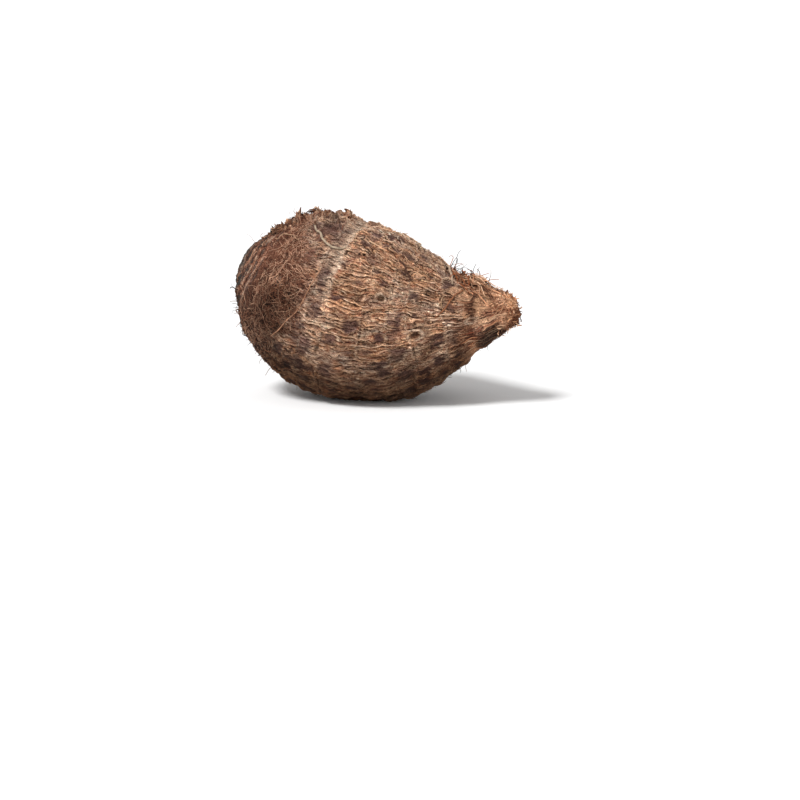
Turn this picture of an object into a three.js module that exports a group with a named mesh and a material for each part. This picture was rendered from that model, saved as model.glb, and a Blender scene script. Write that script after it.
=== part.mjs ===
// A taro root: the whole corm of Colocasia esculenta, one grown piece, lying on its belly.
// Millimetres, +Z up. The origin is on the surface that the corm lies on, below the middle of its bounding box.
// The long axis runs along X, from the blunt crown at -X to the broken neck at +X, and bends in the XZ plane.
//
// The skin starts as a LatheGeometry of the straight corm, with rows close together at the leaf scars.
// Each vertex is then shifted a little along the axis, so that the rows wander as the scars do, lifted by
// the relief formulas and set on the bent axis. Angles round the axis are 0 on top and 90 degrees at -Y.

import * as THREE from "three";
import { mergeVertices } from "three/addons/utils/BufferGeometryUtils.js";

// ---- Driving dimensions ----
const BELLY_RADIUS = 34.9; // at the thickest place
const AXIS = new THREE.CubicBezierCurve3( // the bent axis, from the crown's pole to the end of the neck
  new THREE.Vector3(-56.05, 0, 54.8),
  new THREE.Vector3(-19.75, 0, 33.2),
  new THREE.Vector3(14.45, 0, 24.4),
  new THREE.Vector3(58.55, 0, 38.7),
);
const AXIS_LENGTH = AXIS.getLength();

// The outline of the straight corm: share of the axis length, then share of the belly radius.
const OUTLINE = [
  [0.0, 0.0],
  [0.005, 0.13],
  [0.025, 0.302],
  [0.072, 0.55],
  [0.153, 0.802],
  [0.264, 0.962],
  [0.364, 1.012],
  [0.475, 1.005],
  [0.586, 0.917],
  [0.697, 0.735],
  [0.798, 0.515],
  [0.869, 0.35],
  [0.928, 0.245],
  [0.966, 0.21],
  [0.986, 0.165],
  [0.996, 0.085],
  [1.0, 0.0],
];

const COLUMNS = 80; // of vertices round the axis
const ROW_GAP = 2.8; // the widest gap between two rows of vertices, along the outline

// ---- Leaf scars: the rings where each leaf was joined to the corm, closer together towards the crown ----
const SCARS = [3.2, 7.6, 14, 22.4, 32, 41.4, 49, 64, 74, 81, 92.4, 103.2]; // distances along the axis
const LIP_HEIGHT = 0.85; // of the torn bark on a scar's neck side
const LIP_FADE = 4.0; // how far towards the neck the lip sinks back into the skin
const GROOVE_DEPTH = 0.75; // of the crack on a scar's crown side
const GROOVE_WIDTH = 1.4;
const ROW_OFFSETS = [-0.8, 0.4, 2.8]; // rows beside each scar: the bottom of the crack, the lip and the bark past it
const COLLAR = SCARS.length - 1; // the last scar stands out as a collar round the neck
const COLLAR_SIZE = 1.5;
const BARE_FROM = 41.4; // bark has come away between these two scars, and leaves a smooth, lower band
const BARE_TO = 49;
const BARE_DEPTH = 0.35;

// ---- Bark between the scars ----
const FURROWS = 16; // round the belly
const FURROW_DEPTH = 0.6;
const FURROW_TURN = 2.4; // how far, in radians, the furrows of one ring are turned from those of the ring before

// Swellings of the whole corm: height, waves round the axis, waves along it, phase.
const LUMPS = [
  [0.5, 2, 0.6, 0.0],
  [0.45, 3, 1.1, 2.1],
  [0.4, 4, 2.3, 5.0],
  [0.3, 6, 3.7, 1.2],
];

// ---- Eyes: dormant side buds, each one just past a scar; distance along the axis, angle in degrees ----
const EYES = [
  [25, 250],
  [34.5, 318],
  [52, 202],
  [67, 290],
  [70.7, 66],
  [84, 95],
  [96, 215],
  [108.5, 50],
];
const EYE_RADIUS = 3.4;
const EYE_DEPTH = 1.3;
const EYE_RIM = 0.8;

// ---- The broken neck end ----
const STUMP_FROM = 108; // the break starts here
const STUMP_KNOBS = 0.9;

const TAU = 2 * Math.PI;
const smoothstep = THREE.MathUtils.smoothstep;
const gauss = (x, width) => Math.exp(-((x / width) ** 2));

// Which ring of bark the distance s lies in, counted from the crown.
const ringAt = (s) => SCARS.filter((scar) => scar <= s).length;

// How far the skin at s and a is shifted along the axis. The poles stay where they are.
function wander(s, a) {
  const ends = smoothstep(s, 2, 22) * (1 - smoothstep(s, AXIS_LENGTH - 22, AXIS_LENGTH - 4));
  const tilt = -1.2 * Math.cos(a + 0.04 * (s - 50));
  return ends * (tilt + 0.6 * Math.cos(2 * a + 0.09 * s) + 0.4 * Math.sin(5 * a + 0.13 * s));
}

// A scar's share of its full relief: the bark is torn away here and there.
function ragged(k, a) {
  return 0.7 + 0.45 * Math.sin(3 * a + 2.3 * k) + 0.3 * Math.sin(7 * a + 5.7 * k);
}

function scarRelief(s, a) {
  let lift = 0;
  SCARS.forEach((scar, k) => {
    const size = Math.min(1, (k + 2) / 5) * (k === COLLAR ? COLLAR_SIZE : 1);
    const past = s - scar;
    const lip = past > 0 ? Math.exp(-past / LIP_FADE) : 0;
    const crack = gauss(past + 0.8, GROOVE_WIDTH);
    lift += size * ragged(k, a) * (LIP_HEIGHT * lip - GROOVE_DEPTH * crack);
  });
  const bare = smoothstep(s, BARE_FROM, BARE_FROM + 2) * (1 - smoothstep(s, BARE_TO - 1, BARE_TO));
  return lift - BARE_DEPTH * bare;
}

// Lengthwise furrows, which start afresh past each scar, so that the bark is cut up like brickwork.
function furrowRelief(s, a, radius) {
  const ring = ringAt(s);
  const count = Math.max(5, Math.round((FURROWS * radius) / BELLY_RADIUS));
  const bend = 0.5 * Math.sin(0.35 * s + 3 * a);
  return FURROW_DEPTH * smoothstep(radius, 5, 14) * Math.sin(count * a + ring * FURROW_TURN + bend);
}

function lumpRelief(s, a) {
  const t = s / AXIS_LENGTH;
  return LUMPS.reduce((sum, [height, m, n, phase]) => sum + height * Math.sin(m * a + n * TAU * t + phase), 0);
}

function eyeRelief(s, a, radius) {
  let lift = 0;
  for (const [eyeS, degrees] of EYES) {
    const turn = a - THREE.MathUtils.degToRad(degrees);
    const across = Math.atan2(Math.sin(turn), Math.cos(turn)) * radius;
    const r = Math.hypot(s - eyeS, across) / EYE_RADIUS;
    lift += EYE_RIM * gauss(r - 1, 0.4) - EYE_DEPTH * gauss(r, 0.6);
  }
  return lift;
}

function stumpRelief(s, a) {
  const near = smoothstep(s, STUMP_FROM, STUMP_FROM + 6);
  return near * STUMP_KNOBS * (Math.sin(3 * a + 0.7) + 0.8 * Math.sin(5 * a + 0.9 * s));
}

// The skin's height over the plain outline. It fades out towards both poles.
function relief(row, s, a, radius) {
  const bark = scarRelief(row, a) + furrowRelief(row, a, radius);
  return smoothstep(radius, 0, 9) * (bark + lumpRelief(s, a) + eyeRelief(s, a, radius) + stumpRelief(s, a));
}

// ---- The straight corm ----
const outline = new THREE.SplineCurve(
  OUTLINE.map(([t, r]) => new THREE.Vector2(r * BELLY_RADIUS, t * AXIS_LENGTH)),
).getSpacedPoints(1500);
const OUTLINE_STEP = outline[1].distanceTo(outline[0]);

// The outline's first point that is at least s along the axis.
const indexAt = (s) => Math.max(0, outline.findIndex((p) => p.y >= s));

function radiusAt(s) {
  const i = Math.max(1, indexAt(s));
  const share = (s - outline[i - 1].y) / (outline[i].y - outline[i - 1].y);
  return THREE.MathUtils.lerp(outline[i - 1].x, outline[i].x, share);
}

// Rows of vertices: the ones beside each scar, and more between them wherever the gap is wide.
function rows() {
  const last = outline.length - 1;
  const beside = SCARS.flatMap((scar) => ROW_OFFSETS.map((offset) => indexAt(scar + offset)));
  const fixed = [...new Set([0, last, ...beside])].sort((i, j) => i - j);
  const indices = fixed.slice(0, 1);
  for (let n = 1; n < fixed.length; n++) {
    const steps = fixed[n] - fixed[n - 1];
    const parts = Math.ceil((steps * OUTLINE_STEP) / ROW_GAP);
    for (let j = 1; j <= parts; j++) indices.push(Math.round(fixed[n - 1] + (steps * j) / parts));
  }
  const points = indices.map((i) => outline[i].clone());
  points[0].x = 0;
  points[points.length - 1].x = 0;
  return points;
}

// ---- The corm ----
function skin() {
  const straight = new THREE.LatheGeometry(rows(), COLUMNS);
  straight.deleteAttribute("uv");
  straight.deleteAttribute("normal");
  const geometry = mergeVertices(straight, 1e-3);
  const place = geometry.getAttribute("position");
  const side = new THREE.Vector3(0, -1, 0);
  for (let i = 0; i < place.count; i++) {
    const row = place.getY(i);
    const pole = Math.hypot(place.getX(i), place.getZ(i)) < 1e-6;
    const a = Math.atan2(place.getX(i), place.getZ(i));
    const s = THREE.MathUtils.clamp(row + wander(row, a), 0, AXIS_LENGTH);
    const radius = pole ? 0 : radiusAt(s);
    const r = radius + relief(row, s, a, radius);
    const t = s / AXIS_LENGTH;
    const up = new THREE.Vector3().crossVectors(side, AXIS.getTangentAt(t));
    const p = AXIS.getPointAt(t).addScaledVector(up, r * Math.cos(a)).addScaledVector(side, r * Math.sin(a));
    place.setXYZ(i, p.x, p.y, Math.max(p.z, 0)); // the belly is pressed flat where it rests
  }
  return geometry;
}

const corm = new THREE.Mesh(
  skin(),
  new THREE.MeshStandardMaterial({ color: 0x8a6248, roughness: 0.9, metalness: 0 }),
);
corm.name = "corm";

const taro = new THREE.Group();
taro.add(corm);

export default taro;
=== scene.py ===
"""A raw taro root on a pale floor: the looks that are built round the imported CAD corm. Metres; lengths
are given in millimetres and multiplied by MM where a mesh is made.

The skin follows the CAD solid by rays that are cast from the corm's bent axis. A point of the skin is
named by v, the distance from the crown's pole along the profile, and a, the angle round the axis: 0 is on
top and 90 degrees is at -Y. s is the distance along the axis, and q is s as the wandering rings shift it."""

import math

import bpy
import numpy as np
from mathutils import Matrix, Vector
from mathutils.bvhtree import BVHTree


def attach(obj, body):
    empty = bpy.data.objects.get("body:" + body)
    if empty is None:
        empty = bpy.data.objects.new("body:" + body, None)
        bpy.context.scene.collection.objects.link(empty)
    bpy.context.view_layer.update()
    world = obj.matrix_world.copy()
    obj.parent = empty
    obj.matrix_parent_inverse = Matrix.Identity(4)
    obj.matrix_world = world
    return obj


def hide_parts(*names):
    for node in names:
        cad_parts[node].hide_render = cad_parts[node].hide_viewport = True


MM = 0.001
TAU = 2 * math.pi

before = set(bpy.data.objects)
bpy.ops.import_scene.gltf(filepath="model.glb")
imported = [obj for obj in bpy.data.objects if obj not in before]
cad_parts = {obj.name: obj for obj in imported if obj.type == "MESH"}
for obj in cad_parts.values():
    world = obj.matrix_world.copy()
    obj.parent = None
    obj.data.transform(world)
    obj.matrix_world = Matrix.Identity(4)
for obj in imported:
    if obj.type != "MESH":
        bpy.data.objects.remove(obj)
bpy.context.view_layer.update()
rng = np.random.default_rng(11)

# ---- The corm's axis and rings, as in the CAD ----
AXIS_POINTS = np.array([[-56.05, 0, 54.8], [-19.75, 0, 33.2], [14.45, 0, 24.4], [58.55, 0, 38.7]])
# The leaf scars: s, and how deep each one is.
SCARS = (
    (3.2, 0.3), (7.6, 0.4), (14, 0.5), (22.4, 0.3), (32, 0.3), (41.4, 0.5),
    (49, 1.0), (64, 0.6), (74, 0.7), (81, 0.6), (92.4, 0.7), (103.2, 0.6),
)
BARE = (41.4, 49)  # the two scars with pale lines along them, and the bare band between them
# Rings of bark: the scars and fainter ones between them.
RINGS = np.array([3.2, 7.6, 14, 22.4, 27, 32, 36.7, 41.4, 49, 64, 74, 81, 92.4, 98, 103.2, 109])
FRINGED = RINGS[7:-2]  # the rings with light, torn edges
COURSES = np.sort([*RINGS, 56.5, 69, 86.7])  # rows of dark patches are as long as the gaps between these
# The eyes: s, degrees and size.
EYES = (
    (25, 250, 0.8), (34.5, 318, 0.9), (52, 202, 0.7), (67, 290, 0.9),
    (70.9, 66, 0.8), (84.3, 94, 1.1), (96, 215, 0.8), (103.5, 88, 0.7),
)
PHOTO_SIDE = 95  # degrees round the corm, towards the camera
NECK_EDGE = (96, 102)  # where the bark gives way to the neck's husk
NECK_END = (110, 115)  # where the neck's ridges give way to the knobs of its broken end

# ---- Spots on the skin: s, degrees, mm along and across, and in some tables a strength ----
SMOOTH = ((99.9, 39, 4.2, 3.6), (109.0, 52, 3.6, 3.8), (98, 170, 4, 5), (97, 290, 3.5, 5), (108, 330, 3, 3))
# Blotches, with how light (over 0) or how dark and smooth (under 0) each one is.
BLOTCHES = (
    (33.5, 26, 4.0, 5.0, -0.95), (40, 31, 3.4, 4.0, -0.8), (44.5, 22, 2.4, 3.6, -0.7),
    (54.6, 41, 3.0, 2.4, -0.7), (57, 31, 3.8, 1.6, -0.95), (77.7, 22, 4.0, 2.0, -0.9),
    (84.5, 18, 2.4, 2.0, -0.6), (91.9, 17, 1.8, 2.4, -0.8), (67.6, 69, 3.2, 1.9, -0.7),
    (73.3, 68, 1.5, 1.9, -0.6), (76.1, 81, 2.0, 2.0, -0.8), (66.5, 80, 2.3, 1.2, -0.7),
    (85.8, 97, 4.6, 2.4, -0.9), (77.5, 93, 3.2, 1.8, -0.8), (61, 88, 3.2, 2.2, -0.9),
    (57.4, 82, 1.8, 1.3, -0.6), (53.8, 99, 2.2, 2.7, -0.8), (46, 80, 1.7, 2.4, -0.8),
    (44.2, 108, 2.7, 2.7, -0.95), (40.8, 98, 3.4, 2.5, -0.95), (67.3, 105, 2.6, 1.5, -0.7),
    (77.5, 111, 2.6, 1.8, -0.7), (96.1, 110, 2.0, 2.4, -0.6), (89.5, 61, 2.0, 3.0, -0.4),
    (48.8, 78, 1.4, 1.8, 0.4), (48.2, 66, 1.6, 2.4, 0.5), (72.2, 61, 2.8, 1.8, 0.6),
    (75.8, 54, 2.2, 2.2, 0.7), (83.5, 81, 2.2, 0.9, 1.0), (90, 88, 3.0, 3.6, 0.45),
    # The light blotch at s 58 and 356 degrees is a painted highlight along the top.
    (47.5, 121, 2.8, 5.5, 0.6), (56.4, 107, 5.5, 3.0, 0.5), (58, 356, 8.0, 4.0, 0.45),
    (26.0, 76, 3.0, 1.8, 0.9), (62, 60, 7.0, 3.5, 0.3), (48.4, 28, 1.8, 6.0, 0.5),
    (109.4, 56, 2.2, 2.4, 0.2), (52, 113, 3.4, 4.4, 0.6), (114.5, 28, 3.4, 4.5, 1.0),
    (110, 102, 6.0, 5.0, 0.7), (99.9, 39, 3.6, 3.2, 0.6), (76.6, 75, 1.8, 2.4, 0.7),
    (41.2, 107, 3.4, 3.4, -0.95), (43.6, 115, 2.6, 3.0, -0.9), (41.2, 126, 3.6, 3.4, -0.9),
    (52.8, 120, 1.6, 1.6, -0.9), (36.5, 22, 5.0, 6.0, -0.9), (44.3, 33, 2.0, 3.0, -0.8),
    (58.6, 22, 3.0, 3.0, -0.7), (63.0, 40, 3.6, 2.6, -0.6),
)
# Broad areas that are lighter or darker, with the change.
TONES = (
    (32.8, 9, 7, 7, -0.28), (11.8, 63, 5, 6, 0.32), (21.4, 76, 4.5, 4.5, -0.32), (32.8, 127, 6, 8, -0.32),
    (79.3, 96, 7, 5.5, 0.4), (51.4, 118, 7, 6, 0.32), (93.7, 87, 5, 5, 0.3), (99.7, 68, 4, 3.5, 0.34),
    (109.3, 83, 4, 4, -0.14), (62, 38, 14, 16, 0.12),
)
TANGLE = (29.5, 93, 8.5, 13)  # the tangle of fibres on the crown, dark partly in its own colour and partly from painted shade
LIT = (25.5, 76, 4.2, 2.6)  # a tan patch just above it
LEDGE = (12.5, 30, 5.0, 1.1)  # the shadow under the tufts of husk
SHADED_SOIL_PATCH = (108.6, 142, 6.4, 6.0)  # a dark patch under the neck: soil, and painted shade
HUSK_SCALE = (99.6, 104, 3.4, 5.2)  # a brown scale on the neck
PIT = (108.9, 43, 0.7, 1.1)  # a small dark hole in the neck
# Rusty streaks on the neck.
STAINS = ((110.5, 81, 4.6, 1.4, 0.7), (100.2, 65, 3.8, 1.0, 0.6), (112.5, 66, 3.0, 0.9, 0.5))

# ---- Colours, as sRGB ----
CREST = (233, 198, 170)
GOLD = (210, 163, 127)
GROOVE = (70, 36, 26)
RUST = (132, 71, 50)
PATCH = (80, 53, 50)
PATCH_CREST = (152, 115, 104)
PALE = (234, 202, 176)
CRACK = (36, 18, 11)
CROWN_DARK = (50, 31, 25)
CROWN_RED = (122, 78, 60)
SLATE = (84, 76, 70)
NECK_TAN = (205, 154, 118)
NECK_BROWN = (129, 79, 56)
ORANGE = (186, 122, 80)
BAND_TAN = (168, 132, 112)
DARK, BROWN, SAND, RED = (46, 34, 30), (112, 76, 56), (184, 144, 112), (156, 92, 58)  # of the hairs
# Mixes for strands: each one's colours, and how often each of them comes.
STRIP_MIX = ((CREST, GOLD, RUST), (0.4, 0.3, 0.3))
CRACK_MIX = ((CRACK, GROOVE), (0.6, 0.4))
LEAF_MIX = (((166, 122, 96), (130, 88, 68), (60, 42, 35), (98, 84, 76)), (0.2, 0.35, 0.3, 0.15))
TUFT_MIX = (((182, 136, 106), (138, 96, 74), (212, 172, 142), (68, 45, 37)), (0.34, 0.3, 0.2, 0.16))
NECK_MIX = (((196, 136, 98), (214, 172, 138), RUST, (150, 102, 76)), (0.25, 0.35, 0.15, 0.25))
COLLAR_MIX = (((232, 186, 150), (206, 150, 114), (164, 112, 84), (98, 64, 48)), (0.38, 0.3, 0.18, 0.14))
END_MIX = (((214, 160, 120), (158, 104, 74), (100, 62, 46), (230, 184, 148)), (0.34, 0.26, 0.12, 0.28))
MAT_COLOURS = ((212, 166, 136), (156, 106, 82), (108, 68, 53), (42, 26, 20))
WARM_HUE = np.array([0.16, -0.04, -0.24])  # what rustier bark adds to each colour channel
UNDERSIDE_SHADE = np.array([0.76, 0.81, 0.85])  # the share of each colour that the painted shade on the underside takes away
TANGLE_SHADE = np.array([0.9, 1.0, 1.06])  # the share of each colour that the painted shade in the tangle takes from its fibres, which turn redder too


def linear(rgb):
    c = np.asarray(rgb, float) / 255
    return np.where(c <= 0.04045, c / 12.92, ((c + 0.055) / 1.055) ** 2.4)


def mix(a, b, t):
    t = np.clip(t, 0, 1)[..., None]
    return a * (1 - t) + b * t


def ramp(low, high, t, low_gain=1, high_gain=1):
    """The linear colour between two sRGB colours, each of them made lighter or darker by its gain."""
    return mix(linear(low) * low_gain, linear(high) * high_gain, t)


def layered(colour, layers):
    """A linear colour with others laid over it. Each layer is an sRGB colour, its gain and its share."""
    for hue, gain, share in layers:
        colour = mix(colour, linear(hue) * np.asarray(gain)[..., None], share)
    return colour


def smoothstep(x, low, high):
    t = np.clip((x - low) / (high - low), 0, 1)
    return t * t * (3 - 2 * t)


def window(x, rise, top, fall, end):
    """Smoothly up from 0 to 1 between rise and top, and down again between fall and end."""
    return smoothstep(x, rise, top) * (1 - smoothstep(x, fall, end))


def gauss(x, width):
    return np.exp(-((x / width) ** 2))


def circle(a, radius):
    return np.cos(a) * radius, np.sin(a) * radius


# ---- Gradient noise on arrays of points ----
PERM = np.concatenate([rng.permutation(256)] * 2)
GRADS = rng.normal(size=(256, 3))
GRADS /= np.linalg.norm(GRADS, axis=1)[:, None]


def noise(x, y, z, seed=0):
    """Smooth noise of about -0.7 to 0.7 whose features are about one unit across."""
    x, y, z = np.broadcast_arrays(np.asarray(x, float) + 31.7 * seed, y, z)
    p = np.stack([x, y, z], -1)
    cell = np.floor(p).astype(np.int64)
    f = p - cell
    w = f * f * f * (f * (f * 6 - 15) + 10)
    total = np.zeros(p.shape[:-1])
    for corner in range(8):
        o = np.array([corner & 1, corner >> 1 & 1, corner >> 2])
        c = (cell + o) & 255
        g = GRADS[PERM[PERM[PERM[c[..., 0]] + c[..., 1]] + c[..., 2]]]
        share = np.prod(np.where(o, w, 1 - w), axis=-1)
        total += share * np.sum(g * (f - o), axis=-1)
    return total


def fractal(x, y, z, seed=0, octaves=3):
    total, size = 0.0, 1.0
    for i in range(octaves):
        total = total + size * noise(x * 2**i, y * 2**i, z * 2**i, seed + 7 * i)
        size *= 0.55
    return total


# ---- The axis ----
def bezier(t):
    t = np.asarray(t, float)[..., None]
    a, b, c, d = AXIS_POINTS
    return (1 - t) ** 3 * a + 3 * (1 - t) ** 2 * t * b + 3 * (1 - t) * t * t * c + t**3 * d


AXIS_T = np.linspace(0, 1, 3001)
AXIS_P = bezier(AXIS_T)
AXIS_S = np.concatenate([[0], np.cumsum(np.linalg.norm(np.diff(AXIS_P, axis=0), axis=1))])
AXIS_D = np.gradient(AXIS_P, axis=0)
AXIS_D /= np.linalg.norm(AXIS_D, axis=1)[:, None]
LENGTH = AXIS_S[-1]
SIDE = np.array([0, -1.0, 0])


def on_axis(s):
    """The axis point at s, and the directions along the axis and up from it."""
    p = np.stack([np.interp(s, AXIS_S, AXIS_P[:, i]) for i in range(3)], -1)
    d = np.stack([np.interp(s, AXIS_S, AXIS_D[:, i]) for i in range(3)], -1)
    d /= np.linalg.norm(d, axis=-1, keepdims=True)
    return p, d, np.cross(np.broadcast_to(SIDE, d.shape), d)


def along_axis(p):
    """The distance along the axis of the axis point that is nearest to each p."""
    s = np.interp(p[..., 0], AXIS_P[:, 0], AXIS_S)
    for _ in range(12):
        c, d, _up = on_axis(s)
        s = np.clip(s + 0.8 * np.sum((p - c) * d, axis=-1), 0, LENGTH)
    return s


# ---- Rays from the axis to the CAD solid ----
CROWN_FAN = (20.0, 40.0)  # the fan's root moves between these as it turns from the pole to square
NECK_FAN = (104.0, 112.0)


def ray_frames(u):
    """For u from 0, the crown's pole, to 3, the neck's end: the ray's root on the axis, and its tilt from
    the axis."""
    crown, body, neck = np.clip(u, 0, 1), np.clip(u - 1, 0, 1), np.clip(u - 2, 0, 1)
    root = CROWN_FAN[0] + (CROWN_FAN[1] - CROWN_FAN[0]) * crown**2
    root = root + (NECK_FAN[0] - CROWN_FAN[1]) * body
    root = root + (NECK_FAN[1] - NECK_FAN[0]) * neck
    tilt = np.where(u < 1, np.pi - np.pi / 2 * crown, np.pi / 2 * (1 - neck))
    return root, tilt


corm_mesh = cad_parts["corm"].data
corm_tree = BVHTree.FromPolygons(
    [v.co[:] for v in corm_mesh.vertices], [p.vertices[:] for p in corm_mesh.polygons]
)


def cast(u, a):
    """Distances in mm from the axis to the CAD surface, with the rays' roots and directions."""
    root, tilt = ray_frames(u)
    p, along, up = on_axis(root)
    out = np.cos(a)[..., None] * up + np.sin(a)[..., None] * SIDE
    ray = np.cos(tilt)[..., None] * along + np.sin(tilt)[..., None] * out
    reach = np.empty(u.shape)
    for index in np.ndindex(u.shape):
        hit = corm_tree.ray_cast(Vector(p[index] * MM), Vector(ray[index]))
        reach[index] = hit[3] / MM
    return reach, p, ray


def blur(field, rows, columns):
    """Gaussian blur of a grid that is cyclic in its second direction."""
    def kernel(width):
        k = gauss(np.arange(-int(3 * width) - 1, int(3 * width) + 2), width * math.sqrt(2))
        return k / k.sum()
    k = kernel(columns)
    half = len(k) // 2
    field = sum(w * np.roll(field, i - half, axis=1) for i, w in enumerate(k))
    k = kernel(rows)
    half = len(k) // 2
    padded = np.pad(field, ((half, half), (0, 0)), mode="edge")
    return sum(w * padded[i : i + field.shape[0]] for i, w in enumerate(k))


def profile_rows():
    """u against v: how far the rays' ends travel over the skin as u grows."""
    u = np.linspace(0, 3, 400)
    a = np.arange(8) * TAU / 8
    uu, aa = np.meshgrid(u, a, indexing="ij")
    reach, p, ray = cast(uu, aa)
    end = p + ray * blur(reach, 4, 0.1)[..., None]
    step = np.linalg.norm(np.diff(end, axis=0), axis=2).mean(axis=1)
    return u, np.concatenate([[0], np.cumsum(step)])


U_TABLE, V_TABLE = profile_rows()
PROFILE = V_TABLE[-1]
BASE_ROWS, BASE_COLUMNS = 360, 360


def base_surface():
    """The CAD skin with its facets smoothed away, on an even grid of v and a: points and unit normals."""
    v = np.linspace(0, PROFILE, BASE_ROWS)
    a = np.arange(BASE_COLUMNS) * TAU / BASE_COLUMNS
    vv, aa = np.meshgrid(v, a, indexing="ij")
    reach, p, ray = cast(np.interp(vv, V_TABLE, U_TABLE), aa)
    reach = blur(reach, 2.4, 2.2)
    # The CAD's facets are wide round the crown's pole, so the skin is smoothed more there.
    reach = reach + (1 - smoothstep(v, 4, 13))[:, None] * (blur(reach, 5, 30) - reach)
    points = p + ray * reach[..., None]
    points[0] = points[0].mean(axis=0)
    points[-1] = points[-1].mean(axis=0)
    rows = np.gradient(points, axis=0)
    columns = np.roll(points, -1, axis=1) - np.roll(points, 1, axis=1)
    normals = np.cross(columns, rows)
    normals /= np.linalg.norm(normals, axis=2, keepdims=True) + 1e-12
    if np.sum(normals * ray) < 0:
        normals = -normals
    for end, near in ((0, 2), (-1, -3)):
        normals[end] = normals[near].mean(axis=0) / np.linalg.norm(normals[near].mean(axis=0))
    return points, normals


BASE, BASE_N = base_surface()


def sample(grid, v, a):
    """Values of a BASE_ROWS by BASE_COLUMNS grid at v and a, between its points."""
    row = np.clip(v / PROFILE * (BASE_ROWS - 1), 0, BASE_ROWS - 1.001)
    column = np.mod(a / TAU, 1) * BASE_COLUMNS
    i, j = row.astype(int), column.astype(int) % BASE_COLUMNS
    k = (j + 1) % BASE_COLUMNS
    fi, fj = row - i, column - np.floor(column)
    if grid.ndim == 3:
        fi, fj = fi[..., None], fj[..., None]
    near = grid[i, j] * (1 - fj) + grid[i, k] * fj
    far = grid[i + 1, j] * (1 - fj) + grid[i + 1, k] * fj
    return near * (1 - fi) + far * fi


def around_axis(points):
    """The distance along the axis of each point of a grid, and its angle round it and distance from it."""
    s = along_axis(points)
    p, _along, up = on_axis(s)
    out = points - p
    return s, np.arctan2(out @ SIDE, np.sum(out * up, axis=2)), np.linalg.norm(out, axis=2)


BASE_S, _angles, BASE_R = around_axis(BASE)
MEAN_S, MEAN_R = BASE_S.mean(axis=1), BASE_R.mean(axis=1)  # row by row
V_ROWS = np.linspace(0, PROFILE, BASE_ROWS)


def v_at(s):
    return np.interp(s, np.maximum.accumulate(MEAN_S) + np.arange(BASE_ROWS) * 1e-9, V_ROWS)


def s_at(v):
    return np.interp(v, V_ROWS, MEAN_S)


def radius_at(v):
    return np.interp(v, V_ROWS, MEAN_R)


# ---- Hairs, rootlets and tufts ----
# Each group of hairs: how many, s and a from and to, length, width, curl, colours.
HAIRS = (
    (24, (92, 102, -26, 12), (5, 12), (0.28, 0.48), 3.0, (DARK, DARK, RED)),
    (30, (98, 107, -26, 18), (4, 10), (0.3, 0.6), 2.6, (RED, RED, BROWN)),
    (14, (92, 106, 40, 330), (3, 7), (0.25, 0.4), 3.0, (DARK, RED, BROWN)),
    (5, (64, 82, -12, 6), (2.5, 4.5), (0.25, 0.35), 2.6, (DARK,)),
    (6, (110, 117, 10, 70), (5, 9), (0.2, 0.32), 3.2, (SAND, BROWN)),
    (60, (6, 34, 122, 180), (2.5, 5.5), (0.25, 0.42), 3.4, (DARK, DARK, BROWN)),
    (12, (5, 19, 10, 60), (4, 8), (0.2, 0.3), 2.8, (DARK, BROWN)),
    (4, (3, 10, 112, 160), (4, 7), (0.26, 0.36), 2.8, (DARK,)),
    (60, (20, 95, 0, 360), (1.5, 3.5), (0.14, 0.24), 2.6, (DARK, BROWN, SAND)),
)
# Each rootlet: places of s and degrees, width, how far its middle is off the skin, colour.
ROOTLETS = (
    (((28, 24), (31.6, 30), (34.8, 35), (39, 41), (43, 43), (49, 40)), 0.95, 0.7, (172, 152, 130)),
    (((91.3, -2), (93.5, 3), (95.3, 13), (96.7, 26)), 1.0, 0.8, (176, 150, 128)),
    (((74.5, 31), (77.5, 36), (79.9, 42), (82.1, 46)), 0.9, 0.25, (84, 58, 46)),
    (((100.5, 26), (98.6, 45), (96.9, 61), (91.1, 80)), 0.6, 0.4, (150, 98, 68)),
    (((95, 50), (93.5, 60), (94.5, 70)), 0.45, 0.4, (178, 142, 112)),
    (((60, 230), (66, 244), (64, 262)), 0.9, 0.7, (172, 146, 122)),
    (((33, 300), (40, 309), (43, 322)), 0.8, 0.6, (168, 138, 112)),
    (((14, 40), (20, 35), (26, 42)), 0.4, 0.4, (176, 138, 110)),
    (
        ((42, 58), (41, 70), (39.8, 81), (38.4, 90), (36, 97), (32.8, 107), (30.4, 116)),
        0.44, 0.3, (182, 134, 104),
    ),
    (((20, 88), (21, 97), (24.5, 106), (30, 113)), 0.26, 0.4, (140, 104, 84)),
)
# Torn tufts of husk along the crown's upper side: s, degrees, and how far they stand up.
TUFTS = (
    (8, 22, 1.3), (10, 24, 1.7), (12, 22, 2.0), (14, 22, 1.9), (16, 20, 1.6), (13, 6, 1.8),
    (16.8, -2, 2.7), (17.3, -1, 2.5), (18.5, 3, 2.2), (21, 6, 1.7), (22.5, 0, 2.8), (23.5, 2, 2.5),
    (26, -4, 1.8), (28.5, 2, 1.6), (31, -6, 1.8), (33, 0, 1.4), (36, -4, 1.7), (38.5, 0, 1.2),
    (12, 350, 2.0), (16, 340, 2.2), (21, 335, 2.4), (27, 338, 2.0), (24, 320, 1.8), (14, 300, 1.5),
    (31, 325, 1.6), (18, 280, 1.4), (10, 250, 1.4), (93, -4, 1.4), (96, 8, 1.4), (99.0, -3, 2.6),
    (100.5, 9, 2.4), (102.5, -2, 2.6),
)


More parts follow.
